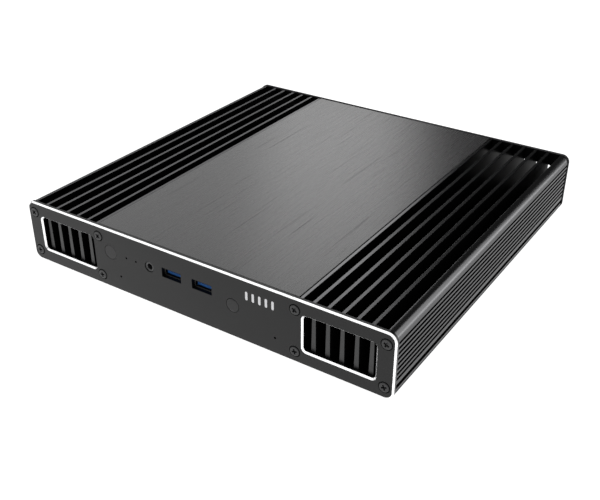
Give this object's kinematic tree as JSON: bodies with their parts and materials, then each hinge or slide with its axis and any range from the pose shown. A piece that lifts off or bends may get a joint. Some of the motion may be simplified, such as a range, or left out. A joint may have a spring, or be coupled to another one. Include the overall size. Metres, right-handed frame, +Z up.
{
  "type": "mini pc",
  "caption": "Flat fanless mini PC: finned black aluminium side extrusions, brushed top cover, bright-edged end panels with vents and ports, and a push button.",
  "frame": {"origin": "middle of the footprint, on the surface that the four rubber feet stand on", "axes": "+X to the right as seen from the front, along the longest side; +Y to the rear panel; +Z up"},
  "size_m": [0.2478, 0.2422, 0.0408],
  "materials": {
    "anodised_black": "black anodised, fine matt",
    "brushed_black": "black anodised over brushing that runs front to rear",
    "panel_black": "black anodised, fine brushed",
    "bright_edge": "bright-cut bare aluminium",
    "screw_black": "black oxide",
    "foot_rubber": "matt rubber",
    "tinted_plastic": "dark infrared-clear plastic",
    "clear_plastic": "clear acrylic",
    "black_plastic": "moulded black plastic",
    "cable_jacket": "soft black jacket",
    "usb_blue": "moulded blue plastic",
    "nickel_shell": "nickel plate",
    "contact_gold": "gold-plated contacts",
    "printed_mark": "pale screen-printed ink",
    "circuit_board": "green solder mask",
    "chip": "polished die on dark substrate",
    "plain_aluminium": "milled bare aluminium"
  },
  "bodies": {
    "case": {"front_panel": "panel_black", "rear_panel": "panel_black", "left_heatsink": "anodised_black", "right_heatsink": "anodised_black", "top_cover": "brushed_black", "base_cover": "anodised_black", "front_screw_1": "screw_black", "front_screw_2": "screw_black", "front_screw_3": "screw_black", "front_screw_4": "screw_black", "front_screw_5": "screw_black", "front_screw_6": "screw_black", "front_screw_7": "screw_black", "front_screw_8": "screw_black", "rear_screw_1": "screw_black", "rear_screw_2": "screw_black", "rear_screw_3": "screw_black", "rear_screw_4": "screw_black", "rear_screw_5": "screw_black", "rear_screw_6": "screw_black", "rear_screw_7": "screw_black", "rear_screw_8": "screw_black", "cover_screw_1": "screw_black", "cover_screw_2": "screw_black", "cover_screw_3": "screw_black", "cover_screw_4": "screw_black", "base_screw_1": "screw_black", "base_screw_2": "screw_black", "base_screw_3": "screw_black", "base_screw_4": "screw_black", "foot_1": "foot_rubber", "foot_2": "foot_rubber", "foot_3": "foot_rubber", "foot_4": "foot_rubber", "ir_window": "tinted_plastic", "led_pipe_1": "clear_plastic", "led_pipe_2": "clear_plastic", "microphone_1": "foot_rubber", "microphone_2": "foot_rubber", "headphone_jack": "black_plastic", "front_usb_shell_1": "nickel_shell", "front_usb_shell_2": "nickel_shell", "front_usb_tongue_1": "usb_blue", "front_usb_tongue_2": "usb_blue", "power_switch": "nickel_shell", "front_io_board": "circuit_board", "front_io_cable": "cable_jacket", "mainboard": "circuit_board", "processor": "chip", "thermal_block": "plain_aluminium", "memory_socket": "black_plastic", "memory_module": "circuit_board", "ssd_module": "circuit_board", "sata_drive": "plain_aluminium", "lan_socket": "nickel_shell", "hdmi_socket": "nickel_shell", "rear_usb_stack": "nickel_shell", "power_inlet": "black_plastic"},
    "button": {"power_button": "panel_black", "switch_plunger": "black_plastic"}
  },
  "joints": [
    {"name": "power_press", "type": "slide", "parent": "case", "child": "button", "axis": [0, 1, 0], "range_m": [0, 0.001], "stiffness_N_per_m": 600}
  ]
}
